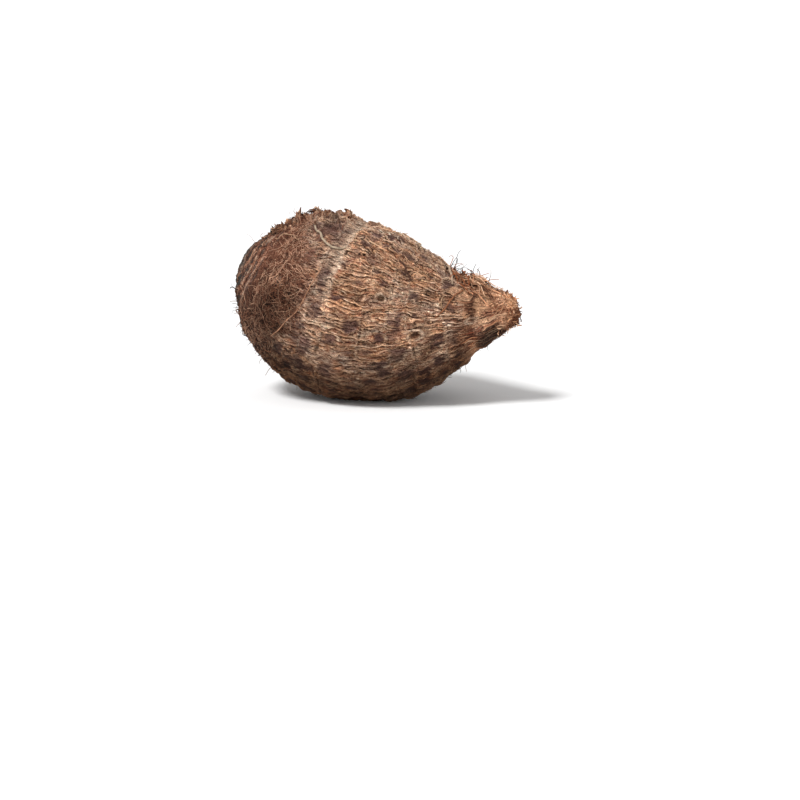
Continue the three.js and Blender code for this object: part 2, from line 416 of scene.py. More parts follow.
# ---- The skin's pattern: relief in mm and colour at s and a ----
RING_R = np.concatenate([[8], np.interp(RINGS, MEAN_S, MEAN_R)])
WRINKLE_GAP = 1.65  # between two strips of bark, round the corm
RING_COUNTS = np.round(TAU * RING_R / WRINKLE_GAP)
RING_SHIFT, COURSE_SHIFT = 5.3, 7.1  # start the noise afresh in each ring and course
CREST_AT, CRACK_AT = 0.82, 0.97  # where a strip's light edge and the crack past it lie across it


def wander(s, a):
    ends = window(s, 2, 22, LENGTH - 22, LENGTH - 4)
    tilt = -1.2 * np.cos(a + 0.04 * (s - 50))
    return ends * (tilt + 0.6 * np.cos(2 * a + 0.09 * s) + 0.4 * np.sin(5 * a + 0.13 * s))


def ragged(k, a):
    return 0.7 + 0.45 * np.sin(3 * a + 2.3 * k) + 0.3 * np.sin(7 * a + 5.7 * k)


def turned(a, degrees):
    """The smallest signed angle from a direction in degrees to a."""
    return np.arctan2(np.sin(a - np.radians(degrees)), np.cos(a - np.radians(degrees)))


def noise_round(a, radius):
    """Noise on the skin. It is called with a place along the corm, counted in features, and with how many mm
    wide a feature is."""
    x, y = circle(a, radius)
    return lambda along, width, seed, octaves=1: fractal(along, x / width, y / width, seed, octaves)


def oval(s, a, radius, row):
    """The distance from the middle of a table row's spot: 1 is its edge."""
    return np.hypot((s - row[0]) / row[2], turned(a, row[1]) * radius / row[3])


def spots(s, a, radius, table):
    """For each row of a table: 1 in the middle of that spot, 0 past its ragged edge."""
    edge = 0.4 * noise_round(a, radius)(s / 2.4, 2.4, 30)
    for row in table:
        yield 1 - smoothstep(oval(s, a, radius, row) + edge, 0.65, 1.25)


def spot(s, a, radius, row):
    return next(spots(s, a, radius, [row]))


def area_tone(s, a, radius):
    """How much lighter or darker the broad areas are, as a factor."""
    share = np.ones_like(s)
    for row in TONES:
        share = share * (1 + row[4] * gauss(oval(s, a, radius, row), 1))
    return share[..., None]


def underside(a):
    return smoothstep(-np.cos(a), 0.0, 0.85)


def crown_painted_shade(s, a, share):
    """What is left of the light colours where the crown turns down: painted shade on its lower side."""
    return (1 - share * smoothstep(-np.cos(a), -0.3, 0.4) * smoothstep(s, 8, 20))[..., None]


def swayed(q, a, radius):
    """The angle a, with the sideways drift that the wrinkles have there."""
    at = noise_round(a, radius)
    drift = 2.0 * at(q / 12, 9, 4) + 0.45 * at(q / 4, 3.6, 5)
    return a + drift / np.maximum(radius, 4)


def ring_place(s, a, radius):
    """q, the place of s among the rings, which wander to and fro round the corm."""
    at = noise_round(a, radius)
    q = s - wander(s, a)
    q = q + 0.5 * at(q / 9, 3.2, 1)
    return q + 0.9 * at(q / 20, 9, 2)


def wrinkles(q, a, radius, ring):
    """The number of the strip of bark at q and a, counted round the ring, the angle and the warp in it, and
    noise that follows the strips."""
    turn = swayed(q, a, radius)
    laid = noise_round(turn, RING_R[ring])
    shift = RING_SHIFT * ring
    warp = 1.5 * laid(q / 9 + shift, 3.4, 6) + 0.85 * laid(q / 4.5 + shift, 1.5, 7)
    warp = warp + 0.4 * laid(q / 1.8 + shift, 1.2, 42)
    return RING_COUNTS[ring] * turn / TAU + 0.37 * ring + warp, turn, warp, laid


def strips(phase):
    """Overlapping strips, one for each unit of phase: height, a painted highlight along the upper edge, and a
    dark crack that is partly a real crack and partly painted shade under the edge, all 0 to 1.
    """
    t = phase - np.floor(phase)
    dark = smoothstep(t, 0.88, 0.95) + (1 - smoothstep(t, 0.0, 0.12))
    return window(t, 0.0, 0.75, 0.88, 1.0), window(t, 0.55, 0.82, 0.86, 0.93), dark


def crown_share(q, a, radius):
    """1 on the matted crown, 0 on the bark. The mat reaches further on the side where its fibres are long."""
    aside = np.degrees(turned(a, PHOTO_SIDE))
    edge = 28.5 + 9.5 * smoothstep(aside, -45, -25) * (1 - smoothstep(aside, -5, 30))
    edge = edge - 4 * gauss(aside + 70, 18)
    at = noise_round(a, radius)
    rough = 7 * at(q / 5, 5, 8) + 5 * at(q / 3, 1.1, 43)
    return 1 - smoothstep(q + rough, edge - 3, edge + 3)


def eyes(s, a, radius):
    """How near each place is to an eye, how deep in its pit and how high on its rim, and a phase that sets
    the wrinkles in rings round it."""
    near, pit, rim, rings = (np.zeros(s.shape) for _ in range(4))
    for k, (eye_s, degrees, size) in enumerate(EYES):
        across = turned(a, degrees) * radius
        far = np.hypot((s - eye_s) * 0.7, across) + 1.1 * noise(s / 2.2, across / 2.2, 3.1 * k, 3)
        here = gauss(far, 3.6 * size)
        way = np.arctan2(across, s - eye_s) - 1.2 * k
        rings = np.where(here > near, far / size + way / TAU, rings)
        near = np.maximum(near, here)
        pit = np.maximum(pit, size * gauss(far, 0.95 * size) * (1 + noise(s, across, k, 33)))
        curl = np.clip(0.7 + 0.6 * np.cos(way) + 1.2 * noise(s / 1.4, across / 1.4, k, 34), 0, 1)
        rim = np.maximum(rim, size * curl * gauss(far - 1.8 * size, 0.45))
    return near, pit, rim, rings / 1.2


def bare_band(q, a, free, laid, grain):
    """The bare band, tan and smooth, the pale lines along its sides, and q as it bends towards the neck."""
    wavy = free(q / 3, 4, 9)
    b = q - (1.0 * gauss(turned(a, 48), 0.45) - 1.6 * gauss(turned(a, 0), 0.4))
    upper = smoothstep(np.cos(a - 0.35), 0.35, 1.0)
    band = window(b, BARE[0] - 1, BARE[0] + 1, BARE[1], BARE[1] + 0.8) * (0.1 + 0.75 * upper)
    from_line = b - BARE[1] + 0.6 + 0.8 * wavy
    line = gauss(from_line, np.where(from_line < 0, 2.9, 0.6))
    line = line * smoothstep(wavy + 0.5 * upper + 0.6 * grain, -0.05, 0.3) * (0.1 + 0.85 * upper)
    # Past the camera's side the other line runs back towards the crown.
    aside = np.degrees(turned(a, PHOTO_SIDE))
    back = 9.5 * smoothstep(aside, -10, 22) * (1 - smoothstep(aside, 40, 70))
    dashes = smoothstep(laid(q / 1.5, 0.9, 36), -0.1, 0.2)
    line = line + 0.75 * dashes * gauss(q - BARE[0] + back - 0.6 + 1.2 * wavy, 0.6) * gauss(aside + 18, 40)
    return band, line, b


def scars(q, b, a, free):
    """The cracks of the leaf scars, and the lips past them."""
    crack, lip = np.zeros(q.shape), np.zeros(q.shape)
    for k, (scar, depth) in enumerate(SCARS):
        past = (b if scar in BARE else q) - scar
        torn = ragged(k, a) - 0.45 + 1.1 * free(k * 3.3, 4, 14)
        size = depth * np.clip(torn, 0, 1.2)
        crack = np.maximum(crack, size * gauss(past - 0.9, 0.42))
        lip = np.maximum(lip, size * np.exp(-np.maximum(past - 1.2, 0) / 1.6) * smoothstep(past, 1.0, 1.5))
    return crack, lip


def crown_colour(s, a, radius, free, rough, arc_line, pole_lumps):
    """Dark red felt, and slate, rust and tan leaf bases near the pole."""
    ca, sa = np.cos(a), np.sin(a)
    pole = ramp(SLATE, CROWN_RED, smoothstep(arc_line + 0.05 * (s - 6), -0.25, 0.2), 0.8, 1.1)
    slate_edge = s + 6 * free(s / 5, 3, 28)
    pole = layered(pole, (
        (CREST, 0.8, 0.6 * smoothstep(arc_line, 0.16, 0.4)),
        (CROWN_DARK, 1, 0.8 * (1 - smoothstep(np.abs(arc_line + 0.16), 0.0, 0.1))),
        (SLATE, 1.0 + 1.5 * pole_lumps + 0.7 * rough, 0.62 * (1 - smoothstep(slate_edge, 3, 8))),
    ))
    # The felt is painted lighter towards the top: painted light.
    felt = ramp(CROWN_DARK, CROWN_RED, 0.62 + 0.8 * rough + 0.25 * ca, 1, 1.1)
    felt = mix(felt, pole, 1 - smoothstep(s + 4 * noise(s / 5, ca * 3, sa * 3, 19), 12, 18))
    # Painted shade darkens the felt in the tangle.
    felt = layered(felt, [(CROWN_DARK, 0.4, 0.95 * spot(s, a, radius, TANGLE))])
    # Painted shade on the crown's lower side, then the painted shadow under the tufts.
    return layered(felt * crown_painted_shade(s, a, 0.5), [(CRACK, 1, 0.9 * spot(s, a, radius, LEDGE))])


def neck_colour(s, a, free, ridges, grain, shadow):
    """Tan and brown husk, orange on top, painted lighter on top as painted light, with painted shade between
    its ridges and in the cracks.
    """
    ca = np.cos(a)
    husk = free(s / 9, 3.4, 19) + 0.25 * ridges
    # Lighter towards the top: painted light.
    tan = ramp(NECK_BROWN, NECK_TAN, smoothstep(husk + 0.35 * ca + 0.3 * grain, -0.45, 0.55))
    tan = layered(tan, (
        (ORANGE, 1, 0.8 * smoothstep(husk + 0.9 * np.cos(a + 0.15) - 0.75, 0.0, 0.2)),
        # painted shade in the cracks and between the ridges
        (GROOVE, 1, np.clip(0.35 * shadow + 0.5 * smoothstep(-ridges, 0.5, 1.0), 0, 1)),
    ))
    # The broken end is painted lighter on top: painted light.
    return tan * (1 + 0.4 * smoothstep(s, 108, 112) * smoothstep(ca, -0.1, 0.7))[..., None]


def pattern(s, a, radius):
    """The skin at arrays of places: its relief in mm, its linear colour, how much it is a crest, how plain it
    is, and how much of it the fine grain of the material covers."""
    q = ring_place(s, a, radius)
    ca, sa = np.cos(a), np.sin(a)
    free = noise_round(a, radius)
    ring, course = np.searchsorted(RINGS, q), np.searchsorted(COURSES, q)
    low, high = np.concatenate([[0], COURSES])[course], np.concatenate([COURSES, [LENGTH]])[course]
    into = (q - low) / (high - low)
    ring_shift, course_shift = RING_SHIFT * ring, COURSE_SHIFT * course
    crown, neck = crown_share(q, a, radius), smoothstep(q, *NECK_EDGE)
    smooth_spots = list(spots(s, a, radius, SMOOTH))
    smooth = np.max(smooth_spots, axis=0)
    eye_near, eye_pit, eye_rim, eye_phase = eyes(s, a, radius)

    # Wrinkles: strips of bark that overlap like shingles, coarse ones and, where those fade, fine ones.
    # They bend round the eyes.
    phase, turn, warp, laid = wrinkles(q, a, radius, ring)
    height, light, dark = strips(np.where(eye_near > 0.5, eye_phase, phase))
    fine_height, fine_light, fine_dark = strips(2 * RING_COUNTS[ring] * turn / TAU + 0.7 * ring + 2.1 * warp)
    near_mat = gauss(q - 43, 8) * gauss(turned(a, 106), 0.35)  # bolder strips beside the crown's tangle
    strong = smoothstep(laid(q / 3.6 + ring_shift, 2.2, 31) + 0.4 * near_mat, -0.16, 0.2)
    weak = 0.95 * (1 - strong) * smoothstep(laid(q / 3.5 + ring_shift, 1.6, 32), -0.25, 0.1)
    # The strips' light upper edges are painted highlights, and the dark cracks under them are partly painted
    # shade.
    raised = height * strong + 0.45 * fine_height * weak
    painted_highlight = light * strong + 0.8 * fine_light * weak
    shadow = dark * strong + 0.7 * fine_dark * weak
    grain = laid(q / 1.9, 0.7, 12, 2)

    band, line, b = bare_band(q, a, free, laid, grain)
    crack, lip = scars(q, b, a, free)
    fringe = np.zeros(s.shape)
    for k, edge in enumerate(FRINGED):
        torn = smoothstep(free(k * 2.1 + 9, 2.2, 24), -0.12, 0.15)
        fringe = np.maximum(fringe, torn * gauss(q - edge + 0.2 * grain, 0.5))

    # Patches of dark, smooth skin fill the middle of some stretches between two rings.
    brick = laid(course_shift, 4.2, 10) + 0.4 * laid(q / 2.2, 2.0, 11)
    frayed = into + 0.3 * laid(q / 2, 0.9, 22)
    facing = smoothstep(np.cos(a - 1.2), 0.4, 0.8) * smoothstep(s, 44, 52)
    patch = smoothstep(brick - 0.16 * facing, 0.0, 0.16) * window(frayed, 0.02, 0.2, 0.7, 0.95)
    patch = patch * (1 - neck) * (1 - smooth)
    pale = np.zeros(s.shape)
    for blotch, where in zip(BLOTCHES, spots(s, a, radius, BLOTCHES)):
        patch = np.maximum(patch, -blotch[4] * where)
        pale = np.maximum(pale, blotch[4] * where)
    patch = patch * (1 - pale) * (1 - eye_near)
    depth = 0.6 + 1.1 * laid(course_shift + 3, 3.2, 23)

    # The relief. The wrinkles are lower where the skin is smooth.
    flat = (1 - 0.65 * patch) * (1 - 0.5 * band) * (1 - 0.75 * crown) * (1 - 0.9 * smooth) * (1 - 0.7 * neck)
    flat = flat * (1 - 0.6 * np.clip(line, 0, 1))
    lumps = laid(q / 6, 5, 13)
    end = smoothstep(s, *NECK_END)
    knobs = free(s / 3.0, 2.6, 21) * end
    ridges = np.sin(5 * a + 0.9 + 2.2 * noise(s / 12, ca, sa, 25)) * neck * (1 - end)
    valley = gauss(s - 104.2 - 1.6 * noise(a * 4, s / 3, 0, 35), 1.5)
    valley = valley * smoothstep(np.cos(a - 0.86), 0.55, 0.85) * (0.9 + 1.2 * laid(s / 1.5, 1.2, 44))
    tufted = smoothstep(np.cos(a - 0.05), 0.9, 0.98) * smoothstep(s, 7, 11) * (1 - smoothstep(s, 36, 44))
    tufted = tufted * smoothstep(noise(s / 2.6, ca * radius / 2.6, sa * radius / 2.2, 45), 0.0, 0.3)
    rim_noise = 1 + 1.5 * free(s / 1.5, 1.5, 20)
    relief = 0.74 * raised * flat + 2.0 * tufted + 0.5 * lumps + 0.14 * grain * (1 - smooth) - 0.25 * patch
    relief = relief - 0.35 - 0.75 * crack + 0.5 * lip + 2.4 * knobs + 0.45 * eye_rim * rim_noise
    relief = relief - 0.6 * eye_pit + 0.5 * ridges - 0.9 * valley - 0.2 * smooth
    # Papery leaf bases run in long arcs near the pole.
    rough = laid(q / 3, 3, 17, 3)
    arc_line = noise(s / 2.3 + 0.4 * np.cos(2 * a), ca * 0.9, sa * 0.9, 18)
    arc_line = arc_line + 0.35 * noise(s / 0.9, ca * 1.5, sa * 1.5, 27)
    arc_line = (arc_line + 0.5 * rough) * smoothstep(s, 0.3, 3)
    near_pole = 1 - smoothstep(s, 9, 16)
    pole_lumps = free(s / 4, 3, 40, 3)
    relief = (relief + 0.6 * arc_line * near_pole) * smoothstep(radius, 0, 5)
    relief = relief + (0.8 * pole_lumps - 0.2) * near_pole

    # Colour: bark, then patches, bare band, crown, neck, and last the cracks and eyes.
    tone = laid(q / 14, 11, 15, 3)
    sunny = 0.5 * gauss((s - 72) / 22, 1) * gauss(turned(a, 75), 0.7)
    # The raised bark takes the light top colours and the hollows the dark ground colours: painted light and
    # shade over the relief, on top of the bark's own grain and rust.
    top = ramp(CREST, GOLD, smoothstep(tone + sunny, -0.25, 0.45))
    ground = ramp(GROOVE, RUST, smoothstep(laid(q / 3, 2.2, 16), -0.35, 0.45))
    body = mix(ground, top, 0.26 + 0.36 * raised + 0.3 * grain + 0.8 * painted_highlight * (0.85 + 0.9 * grain))
    # A little lighter towards the top: painted light.
    body = body * (1.14 + 0.12 * ca + 0.9 * laid(q / 9, 6, 26, 2))[..., None]
    warmth = laid(q / 3.2, 1.7, 41, 2)[..., None]
    # Beside the tangle the raised bark is lighter and the hollows darker, and in the patches the raised and
    # highlit parts are lighter: painted light and shade.
    body = body * (1 + warmth * WARM_HUE) * (1 + 0.35 * near_mat * (2 * raised - 1))[..., None]
    dull = ramp(PATCH, PATCH_CREST, 0.05 + 0.4 * raised + 0.4 * painted_highlight)
    colour = mix(body, dull * (0.6 + 0.6 * depth)[..., None], 0.92 * patch)
    comb = (1 - smoothstep(q, 37, 42)) * gauss(turned(a, 56), 0.6)
    colour = layered(colour, (
        (BAND_TAN, 1 + tone + 0.9 * grain, 0.6 * band * (1 - 0.75 * patch)),
        (CROWN_RED, 0.8 + 0.9 * grain + 0.5 * raised, 0.6 * comb),
        (CREST, 1, 0.4 * fringe),
        (PALE, 1, 0.75 * np.clip(line, 0, 1) * (0.75 + 0.8 * grain)),
    ))
    colour = mix(colour, crown_colour(s, a, radius, free, rough, arc_line, pole_lumps), crown)
    colour = mix(colour, neck_colour(s, a, free, ridges, grain, shadow), neck)
    colour = layered(colour, [(GROOVE, 1, 2.8 * rim * (1 - rim) * (1 - rim)) for rim in smooth_spots])
    husky = ramp(NECK_BROWN, NECK_TAN, 0.9 + 1.2 * lumps + 1.4 * grain, 1, 1.2)
    colour = mix(colour, husky, 0.85 * smooth) * (1 + 0.5 * pale)[..., None]
    scale = spot(s, a, radius, HUSK_SCALE)
    colour = layered(colour, (
        (PALE, 0.7 * (1 + grain), 0.3 * pale),
        (NECK_BROWN, 0.8 + 0.9 * grain, 0.7 * scale),
        (GROOVE, 1, 2.8 * scale * (1 - scale)),
        # painted shade in the valley round the neck
        (GROOVE, 0.8, 0.85 * np.clip(valley, 0, 1)),
        (SLATE, 0.5, 0.8 * spot(s, a, radius, PIT)),
        # the cracks between the strips, darkened partly as painted shade under their edges
        (CRACK, 1, 0.9 * shadow * (1 - crown) * (1 - neck) * (1 - 0.5 * patch) * (1 - 0.5 * band)),
        # the scars' cracks, dark partly as real cracks and partly as painted shade under the lips past them
        (CRACK, 1, 0.85 * np.clip(crack, 0, 1)),
    ))
    colour = mix(colour, top, 0.45 * np.clip(lip, 0, 1) * (1 - crown))
    colour = layered(colour, (
        (CRACK, 1, np.clip(eye_pit * (0.85 + grain), 0, 0.85)),
        (CREST, 1, 0.85 * np.clip(eye_rim, 0, 1)),
    ))
    # Painted shade on the underside, less on the neck and none at the crown's pole.
    underside_shade = underside(a) * (1 - 0.7 * neck) * smoothstep(s, 0.3, 7)
    colour = colour * (1 - underside_shade[..., None] * UNDERSIDE_SHADE) * area_tone(s, a, radius)
    streaks = zip(STAINS, spots(s, a, radius, STAINS))
    colour = layered(colour, [(RUST, 0.8 + 0.8 * grain, stain[4] * streak) for stain, streak in streaks])
    # A dark patch under the neck: soil, and painted shade.
    shaded_soil = (CROWN_DARK, 0.5 + 1.6 * grain + 0.5 * rough, 0.9 * spot(s, a, radius, SHADED_SOIL_PATCH))
    colour = np.clip(layered(colour, [shaded_soil]), 0, 1)
    crest = np.clip(raised + 0.5 * painted_highlight, 0, 1) * (1 - crown)
    plain = np.maximum(patch * 0.9, np.maximum(smooth, np.clip(1.1 * band + line, 0, 1)))
    plain = np.maximum(plain, np.clip(1.2 * eye_near, 0, 1))
    return relief, colour, crest, plain, 1 - 0.5 * np.clip(plain, 0, 1)


# ---- Materials ----
def add_node(tree, kind, inputs, **settings):
    """Adds a node. Its inputs are numbers or other nodes' outputs. Gives the node's own outputs."""
    node = tree.nodes.new("ShaderNode" + kind)
    for name, value in settings.items():
        setattr(node, name, value)
    for slot, value in inputs.items():
        if isinstance(value, bpy.types.NodeSocket):
            tree.links.new(value, node.inputs[slot])
        else:
            node.inputs[slot].default_value = value
    return node.outputs


def add_noise(tree, vector, scale, detail, stretch=None):
    """A noise texture at features per metre, or per mm of the skin's own grid when a stretch is given."""
    if stretch:
        vector = add_node(tree, "VectorMath", {0: vector, 1: stretch}, operation="MULTIPLY")["Vector"]
    inputs = {"Vector": vector, "Scale": scale, "Detail": detail, "Roughness": 0.6}
    return add_node(tree, "TexNoise", inputs)["Fac"]


def add_range(tree, value, low, high, to_low, to_high):
    inputs = {"Value": value, "From Min": low, "From Max": high, "To Min": to_low, "To Max": to_high}
    return add_node(tree, "MapRange", inputs)["Result"]


def add_math(tree, operation, first, second):
    return add_node(tree, "Math", {0: first, 1: second}, operation=operation)["Value"]


SPECULAR = 0.12
ROUGHNESS_SPREAD = 0.12
BUMP_DEPTH = 0.3 * MM
CRACK_HUE, STRIP_HUE = (1.1, 0.72, 0.56), (0.96, 1.04, 1.06)  # factors for the dark and the light parts


def material(name, roughness, mottle, scale, bump, lay=None):
    """The tint of each point, broken up by noise, with bump and roughness from it. With lay, the skin gets
    strips and cracks too, whose lengths and widths are lay's."""
    m = bpy.data.materials.new(name)
    m.use_nodes = True
    tree = m.node_tree
    tint = add_node(tree, "Attribute", {}, attribute_name="tint")
    speckle = add_noise(tree, add_node(tree, "TexCoord", {})["Object"], scale, 6)
    factor = add_range(tree, speckle, 0.3, 0.7, 1 - mottle, 1 + mottle)
    colour, height = tint["Color"], speckle
    if lay:
        grid = add_node(tree, "Attribute", {}, attribute_name="lay")["Vector"]
        strip = add_noise(tree, grid, 1.0, 3, lay)
        wide = add_noise(tree, grid, 1.0, 1, tuple(0.55 * x for x in lay))
        strip_light = add_range(tree, strip, 0.32, 0.68, 0.33, 1.66)
        from_middle = add_math(tree, "ABSOLUTE", add_math(tree, "SUBTRACT", wide, 0.5), 0.0)
        detail = add_math(tree, "MULTIPLY", strip_light, add_range(tree, from_middle, 0.0, 0.03, 0.3, 1.0))
        # A mix node's inputs: 0 is its factor, 2 and 3 are two numbers, 4 and 5 are two vectors.
        share = add_node(tree, "Mix", {0: tint["Alpha"], 2: 1.0, 3: detail})[0]
        hue = add_node(tree, "Mix", {0: share, 4: CRACK_HUE, 5: STRIP_HUE}, data_type="VECTOR")[1]
        colour = add_node(tree, "VectorMath", {0: colour, 1: hue}, operation="MULTIPLY")["Vector"]
        factor = add_math(tree, "MULTIPLY", factor, share)
        height = add_math(tree, "ADD", speckle, add_math(tree, "MULTIPLY", detail, 0.8))
    product = add_node(tree, "VectorMath", {0: colour, "Scale": factor}, operation="SCALE")["Vector"]
    glossy, matt = roughness - ROUGHNESS_SPREAD, min(1.0, roughness + ROUGHNESS_SPREAD)
    lift = {"Strength": bump, "Distance": BUMP_DEPTH, "Height": height}
    shader = tree.nodes["Principled BSDF"].inputs
    tree.links.new(product, shader["Base Color"])
    tree.links.new(add_range(tree, speckle, 0, 1, glossy, matt), shader["Roughness"])
    tree.links.new(add_node(tree, "Bump", lift)["Normal"], shader["Normal"])
    shader["Specular IOR Level"].default_value = SPECULAR
    shader["Metallic"].default_value = 0
    return m


BARK_SKIN = material("bark", 0.85, 0.8, 2100.0, 0.95, (0.42, 2.4, 2.4))
CROWN_SKIN = material("crown_bark", 0.88, 0.9, 2400.0, 1.0, (2.4, 2.0, 2.0))
STRAND = material("strand_bark", 0.8, 0.35, 2000.0, 0.1)


# ---- Meshes ----
def faces(*corners):
    return np.stack(corners, -1).reshape(-1, 4)


def corner_uv(u0, u1, w0, w1):
    """The UV of the four corners of each face."""
    corners = [np.stack(c, -1) for c in ((u0, w0), (u1, w0), (u1, w1), (u0, w1))]
    return np.stack(corners, -2).reshape(-1, 2)


def add_mesh(name, points, quads, tint, uv, look):
    """One object from arrays: points in mm, four corners a face, a colour and a share of fine grain for each
    point, and a UV for each corner."""
    mesh = bpy.data.meshes.new(name)
    mesh.from_pydata((points * MM).tolist(), [], quads.tolist())
    if tint.shape[1] == 3:
        tint = np.concatenate([tint, np.ones((len(tint), 1))], axis=1)
    colour = mesh.attributes.new("tint", "FLOAT_COLOR", "POINT")
    colour.data.foreach_set("color", tint.ravel())
    layer = mesh.uv_layers.new(name="OFBake")
    layer.data.foreach_set("uv", uv.ravel())
    mesh.polygons.foreach_set("use_smooth", np.ones(len(mesh.polygons), dtype=bool))
    mesh.materials.append(look)
    piece = bpy.data.objects.new(name, mesh)
    bpy.context.collection.objects.link(piece)
    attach(piece, "root")
    return piece


def skin_piece(name, v_from, v_to, rows, columns, look):
    """A band of the skin, from one distance along the profile to another."""
    v = np.linspace(v_from, v_to, rows)
    a = np.arange(columns) * TAU / columns
    vv, aa = np.meshgrid(v, a, indexing="ij")
    points, normals = sample(BASE, vv, aa), sample(BASE_N, vv, aa)
    s, angle, radius = around_axis(points)
    relief, tint, _crest, _plain, grained = pattern(s, angle, radius)
    points = points + normals * relief[..., None]
    points[..., 2] = np.maximum(points[..., 2], 0)
    if v_from == 0:
        points[0] = points[0].mean(axis=0)
    if v_to == PROFILE:
        points[-1] = points[-1].mean(axis=0)
    i, j = np.meshgrid(np.arange(rows - 1), np.arange(columns), indexing="ij")
    k = (j + 1) % columns
    quads = faces(i * columns + j, i * columns + k, (i + 1) * columns + k, (i + 1) * columns + j)
    uv = corner_uv(j / columns, (j + 1) / columns, i / (rows - 1), (i + 1) / (rows - 1))
    tint = np.concatenate([tint, grained[..., None]], axis=2).reshape(-1, 4)
    piece = add_mesh(name, points.reshape(-1, 3), quads, tint, uv, look)
    lay = np.stack([s, *circle(swayed(s, angle, radius), radius)], -1)
    grid = piece.data.attributes.new("lay", "FLOAT_VECTOR", "POINT")
    grid.data.foreach_set("vector", lay.ravel())
    return piece


# ---- Strands: strips of bark, fibres, rootlets and hairs ----
PEELED = 0.35  # the share of the strips that peel away
LEAST_HEIGHT = 0.02  # over the floor


def on_skin(v, a, height):
    """Points height mm over the wrinkled skin, with its normals, colours, and crest and plain shares."""
    points, normals = sample(BASE, v, a), sample(BASE_N, v, a)
    s, radius = sample(BASE_S, v, a), sample(BASE_R, v, a)
    relief, tint, crest, plain, _grained = pattern(s, a, radius)
    normals = normals / np.linalg.norm(normals, axis=-1, keepdims=True)
    return points + normals * (relief + height)[..., None], normals, tint, crest, plain


def on_profile(v):
    return np.clip(v, 1, PROFILE - 0.5)


def steps_from(start, steps):
    """Each row's start, and the places that its steps lead to."""
    return np.concatenate([start[:, None], start[:, None] + np.cumsum(steps, axis=1)], axis=1)


def walk(v, a, heading, length, curve, jitter, steps):
    """Paths over the skin: heading 0 runs to the neck and a quarter turn runs round. One row a strand."""
    count = len(v)
    step = (length / (steps - 1))[:, None]
    drift = np.cumsum(rng.normal(size=(count, steps - 1)), axis=1) * jitter * np.sqrt(step)
    way = heading[:, None] + curve[:, None] * step * np.arange(steps - 1) + drift
    vs = on_profile(steps_from(v, np.cos(way) * step))
    return vs, steps_from(a, np.sin(way) * step / np.maximum(radius_at(vs[:, :-1]), 2))


def along_wrinkles(v, a, length, steps, across):
    """Paths from v and a towards the neck, each along one strip of bark, at a share of the way across it."""
    vs = on_profile(v[:, None] + length[:, None] * np.linspace(0, 1, steps))
    angles = np.repeat(a[:, None], steps, axis=1)
    goal, ring = None, None
    for _ in range(7):
        s, radius = sample(BASE_S, vs, angles), sample(BASE_R, vs, angles)
        q = ring_place(s, angles, radius)
        if ring is None:
            ring = np.repeat(np.searchsorted(RINGS, q[:, :1]), steps, axis=1)
        phase = wrinkles(q, angles, radius, ring)[0]
        if goal is None:
            goal = np.floor(phase[:, :1]) + across
        angles = angles + 0.7 * (goal - phase) * TAU / RING_COUNTS[ring]
    return vs, angles


def strand_uv(n, m, across):
    """One small cell of the UV square for each strand of m points and the given number of faces across."""
    i, j, k = np.meshgrid(np.arange(n), np.arange(m - 1), np.arange(across), indexing="ij")
    cells = math.ceil(math.sqrt(n))
    low_u, low_v = (i % cells) / cells, (i // cells) / cells
    u0, u1 = (low_u + (0.1 + 0.8 * (k + d) / across) / cells for d in (0, 1))
    w0, w1 = (low_v + (0.1 + 0.8 * (j + d) / (m - 1)) / cells for d in (0, 1))
    return corner_uv(u0, u1, w0, w1)


def directions(path, normals):
    ahead = np.gradient(path, axis=1)
    side = np.cross(ahead, normals)
    side /= np.linalg.norm(side, axis=2, keepdims=True) + 1e-9
    rise = np.cross(side, ahead)
    rise /= np.linalg.norm(rise, axis=2, keepdims=True) + 1e-9
    return side, rise


def add_strands(name, points, quads, tint, across):
    """Strands as one piece: points and tint (n, m, points round, 3)."""
    points[..., 2] = np.maximum(points[..., 2], LEAST_HEIGHT)
    tint = np.clip(np.broadcast_to(tint, points.shape), 0, 1).reshape(-1, 3)
    return add_mesh(name, points.reshape(-1, 3), quads, tint, strand_uv(*points.shape[:2], across), STRAND)


def ridged_strands(name, path, normals, width, ridge, tint):
    """Strips with a ridge along the middle, whose height is the given share of the width. path and normals
    are (n, m, 3), width is (n, m) and tint is (n, m or 1, 3)."""
    n, m = path.shape[:2]
    side, rise = directions(path, normals)
    flank = side * (width / 2)[..., None]
    points = np.stack([path - flank, path + rise * (width * ridge)[..., None], path + flank], axis=2)
    i, j, k = np.meshgrid(np.arange(n), np.arange(m - 1), np.arange(2), indexing="ij")
    corner = (i * m + j) * 3 + k
    quads = faces(corner, corner + 1, corner + 4, corner + 3)
    # The strip's middle is painted lighter and its edges darker: painted light and shade across the ridge.
    return add_strands(name, points, quads, np.stack([tint * 0.75, tint * 1.1, tint * 0.75], axis=2), 2)


def round_strands(name, path, normals, width, tint, sides):
    """Round tubes: path and normals (n, m, 3), width (n, m), tint (n, m or 1, 3)."""
    n, m = path.shape[:2]
    side, rise = directions(path, normals)
    turn = np.arange(sides) * TAU / sides
    out = side[:, :, None] * np.cos(turn)[:, None] + rise[:, :, None] * np.sin(turn)[:, None]
    points = path[:, :, None] + out * (width / 2)[:, :, None, None]
    i, j, k = np.meshgrid(np.arange(n), np.arange(m - 1), np.arange(sides), indexing="ij")
    row, over = (i * m + j) * sides, (k + 1) % sides
    quads = faces(row + k, row + over, row + sides + over, row + sides + k)
    return add_strands(name, points, quads, tint[:, :, None], sides)


def taper(steps, sharp=0.5):
    t = np.linspace(0, 1, steps)
    return np.clip(np.sin(np.pi * (0.04 + 0.92 * t)), 0, 1) ** sharp


def random_widths(low, high, count, steps, sharp=0.5):
    return rng.uniform(low, high, count)[:, None] * taper(steps, sharp)


